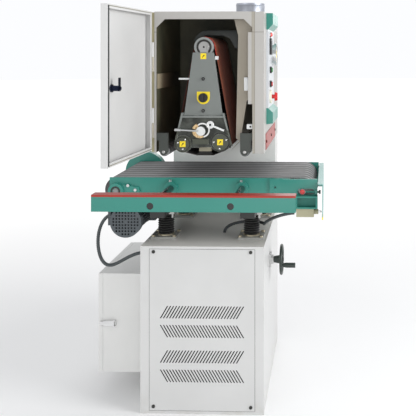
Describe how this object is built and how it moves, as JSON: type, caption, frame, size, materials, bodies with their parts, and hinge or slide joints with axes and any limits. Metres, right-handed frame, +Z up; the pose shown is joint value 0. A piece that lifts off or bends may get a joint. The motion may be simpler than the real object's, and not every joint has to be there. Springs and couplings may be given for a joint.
{
  "type": "wide belt sander",
  "caption": "Open-end wide-belt sander on a louvred floor cabinet, with a powered conveyor table, cantilevered sanding head, swing-open door and sliding support rail.",
  "frame": {"origin": "floor level at the centre of the floor bolt pattern", "axes": "+X to the infeed end, +Y from the open side to the column, +Z up"},
  "size_m": [0.967, 1.2744, 1.698],
  "materials": {
    "cream_paint": "satin sheet-metal paint",
    "green_paint": "semi-gloss machine green",
    "red_paint": "gloss paint",
    "grey_casting": "painted casting",
    "steel": "turned and ground",
    "chrome": "polished",
    "black_plastic": "moulded",
    "black_rubber": "matt",
    "feed_belt": "ribbed",
    "abrasive": "cloth-backed abrasive grain",
    "motor_paint": "dark grey paint",
    "brass": "machined",
    "duct_paint": "satin paint",
    "graphite_pad": "matt pad",
    "green_button": "gloss",
    "red_button": "gloss",
    "switch_beige": "moulded"
  },
  "bodies": {
    "machine": {"base_cabinet": "cream_paint", "louvred_panel": "cream_paint", "fasteners": "steel", "column": "cream_paint", "head_cabinet": "cream_paint", "dust_duct": "duct_paint", "control_box": "cream_paint", "panel_fittings": "black_plastic", "infeed_guard": "red_paint", "sanding_frame": "grey_casting", "sanding_belt": "abrasive", "tracking_gear": "steel", "main_motor": "motor_paint", "drive_belts": "black_rubber", "belt_guard": "cream_paint", "electrical_box": "cream_paint", "screw_flanges": "grey_casting", "lift_chain": "steel", "screw_bellows": "black_rubber", "flex_cables": "black_rubber", "roller_brackets": "grey_casting"},
    "head_door": {"cabinet_door": "cream_paint"},
    "door_latch": {"door_latch": "chrome"},
    "tension_yoke": {"tension_yoke": "steel"},
    "idler_roller": {"idler_roller": "steel"},
    "contact_drum": {"contact_drum": "black_rubber"},
    "steel_drum": {"steel_drum": "steel"},
    "platen": {"platen": "graphite_pad"},
    "platen_lever": {"platen_lever": "chrome"},
    "lock_lever": {"lock_lever": "chrome"},
    "tension_knob": {"tension_knob": "black_plastic"},
    "infeed_pressure_roller": {"infeed_pressure_roller": "black_rubber"},
    "outfeed_pressure_roller": {"outfeed_pressure_roller": "black_rubber"},
    "start_button": {"start_button": "green_button"},
    "stop_button": {"stop_button": "red_button"},
    "estop_button": {"estop_button": "red_button"},
    "motor_pulley": {"motor_pulley": "steel"},
    "box_door": {"box_door": "cream_paint"},
    "latch_lever": {"latch_lever": "chrome"},
    "table": {"table_frame": "green_paint", "conveyor_belt": "feed_belt", "jack_screws": "steel", "conveyor_motor": "motor_paint", "chain_drive": "green_paint", "roller_supports": "green_paint", "limit_switch": "switch_beige"},
    "outfeed_roller": {"outfeed_roller": "black_rubber"},
    "infeed_roller": {"infeed_roller": "steel"},
    "motor_sprocket": {"motor_sprocket": "steel"},
    "support_rail": {"support_rail": "green_paint", "rail_strip": "red_paint", "rail_rods": "black_plastic"},
    "stop_plate": {"stop_plate": "cream_paint"},
    "switch_plunger": {"switch_plunger": "chrome"},
    "lift_nut_fl": {"lift_nut_fl": "brass"},
    "lift_nut_fr": {"lift_nut_fr": "brass"},
    "lift_nut_rl": {"lift_nut_rl": "brass"},
    "lift_nut_rr": {"lift_nut_rr": "brass"},
    "lift_drive_shaft": {"lift_drive_shaft": "steel"},
    "handwheel": {"handwheel": "black_plastic"}
  },
  "joints": [
    {"name": "table_lift", "type": "slide", "parent": "machine", "child": "table", "axis": [0, 0, 1], "range_m": [-0.03, 0.08], "deforming": ["screw_bellows", "flex_cables"]},
    {"name": "door_hinge", "type": "hinge", "parent": "machine", "child": "head_door", "pos_m": [-0.203, -0.383, 1.36], "axis": [0, 0, 1], "range_deg": [-15, 95]},
    {"name": "door_latch_turn", "type": "hinge", "parent": "head_door", "child": "door_latch", "pos_m": [-0.23507, -0.7496, 1.352], "axis": [0.9962, -0.0872, 0], "range_deg": [0, 90]},
    {"name": "belt_tension", "type": "slide", "parent": "machine", "child": "tension_yoke", "axis": [0, 0, 1], "range_m": [-0.008, 0]},
    {"name": "idler_spin", "type": "hinge", "parent": "tension_yoke", "child": "idler_roller", "pos_m": [0, -0.13, 1.504], "axis": [0, 1, 0], "continuous": true},
    {"name": "drum_spin", "type": "hinge", "parent": "machine", "child": "contact_drum", "pos_m": [0.071, 0, 1.111], "axis": [0, 1, 0], "continuous": true},
    {"name": "steel_drum_spin", "type": "hinge", "parent": "machine", "child": "steel_drum", "pos_m": [-0.084, 0, 1.103], "axis": [0, 1, 0], "continuous": true},
    {"name": "motor_spin", "type": "hinge", "parent": "machine", "child": "motor_pulley", "pos_m": [0.071, 0.25, 0.2], "axis": [0, 1, 0], "continuous": true},
    {"name": "platen_lever_turn", "type": "hinge", "parent": "machine", "child": "platen_lever", "pos_m": [-0.008, -0.2, 1.157], "axis": [0, 1, 0], "range_deg": [0, 80]},
    {"name": "platen_lift", "type": "slide", "parent": "machine", "child": "platen", "axis": [0, 0, 1], "range_m": [0, 0.0024]},
    {"name": "lock_lever_turn", "type": "hinge", "parent": "machine", "child": "lock_lever", "pos_m": [0.031, -0.36, 1.183], "axis": [0, 1, 0], "range_deg": [-70, 0]},
    {"name": "tension_knob_turn", "type": "hinge", "parent": "machine", "child": "tension_knob", "pos_m": [0, -0.36, 1.294], "axis": [0, 1, 0], "range_deg": [0, 90]},
    {"name": "infeed_pressure_spin", "type": "hinge", "parent": "machine", "child": "infeed_pressure_roller", "pos_m": [0.174, -0.15, 1.072], "axis": [0, 1, 0], "continuous": true},
    {"name": "outfeed_pressure_spin", "type": "hinge", "parent": "machine", "child": "outfeed_pressure_roller", "pos_m": [-0.16, -0.15, 1.072], "axis": [0, 1, 0], "continuous": true},
    {"name": "start_press", "type": "slide", "parent": "machine", "child": "start_button", "axis": [-1, 0, 0], "range_m": [0, 0.004]},
    {"name": "stop_press", "type": "slide", "parent": "machine", "child": "stop_button", "axis": [-1, 0, 0], "range_m": [0, 0.004]},
    {"name": "estop_press", "type": "slide", "parent": "machine", "child": "estop_button", "axis": [-1, 0, 0], "range_m": [0, 0.006]},
    {"name": "box_door_hinge", "type": "hinge", "parent": "machine", "child": "box_door", "pos_m": [-0.462, 0.241, 0.33], "axis": [0, 0, 1], "range_deg": [-110, 0]},
    {"name": "toggle_latch_turn", "type": "hinge", "parent": "machine", "child": "latch_lever", "pos_m": [-0.398, -0.255, 0.32], "axis": [0, 0, 1], "range_deg": [0, 110]},
    {"name": "conveyor_spin", "type": "hinge", "parent": "table", "child": "outfeed_roller", "pos_m": [-0.351, -0.17, 0.915], "axis": [0, 1, 0], "continuous": true},
    {"name": "tail_roller_spin", "type": "hinge", "parent": "table", "child": "infeed_roller", "pos_m": [0.412, -0.17, 0.915], "axis": [0, 1, 0], "continuous": true},
    {"name": "feed_motor_spin", "type": "hinge", "parent": "table", "child": "motor_sprocket", "pos_m": [-0.318, 0.04, 0.783], "axis": [0, 1, 0], "continuous": true},
    {"name": "rail_slide", "type": "slide", "parent": "table", "child": "support_rail", "axis": [0, 1, 0], "range_m": [0, 0.27]},
    {"name": "stop_plate_swing", "type": "hinge", "parent": "table", "child": "stop_plate", "pos_m": [0.484, -0.17, 0.945], "axis": [0, 1, 0], "range_deg": [0, 4]},
    {"name": "switch_press", "type": "slide", "parent": "table", "child": "switch_plunger", "axis": [-1, 0, 0], "range_m": [0, 0.0085]},
    {"name": "lift_nut_fl_spin", "type": "hinge", "parent": "machine", "child": "lift_nut_fl", "pos_m": [-0.186, -0.215, 0.65], "axis": [0, 0, 1], "continuous": true},
    {"name": "lift_nut_fr_spin", "type": "hinge", "parent": "machine", "child": "lift_nut_fr", "pos_m": [0.186, -0.215, 0.65], "axis": [0, 0, 1], "continuous": true},
    {"name": "lift_nut_rl_spin", "type": "hinge", "parent": "machine", "child": "lift_nut_rl", "pos_m": [-0.186, 0.165, 0.65], "axis": [0, 0, 1], "continuous": true},
    {"name": "lift_nut_rr_spin", "type": "hinge", "parent": "machine", "child": "lift_nut_rr", "pos_m": [0.186, 0.165, 0.65], "axis": [0, 0, 1], "continuous": true},
    {"name": "lift_shaft_spin", "type": "hinge", "parent": "machine", "child": "lift_drive_shaft", "pos_m": [0.186, -0.101, 0.62], "axis": [0, 0, 1], "continuous": true},
    {"name": "handwheel_spin", "type": "hinge", "parent": "machine", "child": "handwheel", "pos_m": [0.26, -0.101, 0.553], "axis": [1, 0, 0], "continuous": true}
  ],
  "couplings": [
    {"joint": "lift_nut_fl_spin", "follows": "table_lift", "rad_per_m": -1256.6},
    {"joint": "lift_nut_fr_spin", "follows": "table_lift", "rad_per_m": -1256.6},
    {"joint": "lift_nut_rl_spin", "follows": "table_lift", "rad_per_m": -1256.6},
    {"joint": "lift_nut_rr_spin", "follows": "table_lift", "rad_per_m": -1256.6},
    {"joint": "lift_shaft_spin", "follows": "table_lift", "rad_per_m": -1256.6},
    {"joint": "handwheel_spin", "follows": "table_lift", "rad_per_m": 2513.3},
    {"joint": "idler_spin", "follows": "drum_spin", "ratio": 0.97619},
    {"joint": "steel_drum_spin", "follows": "drum_spin", "ratio": 1.1389},
    {"joint": "motor_spin", "follows": "drum_spin", "ratio": 0.78817},
    {"joint": "tail_roller_spin", "follows": "conveyor_spin", "ratio": 1},
    {"joint": "feed_motor_spin", "follows": "conveyor_spin", "ratio": 1.3333},
    {"joint": "platen_lever_turn", "follows": "platen_lift", "rad_per_m": 581.78},
    {"joint": "switch_press", "follows": "stop_plate_swing", "m_per_rad": 0.109}
  ]
}
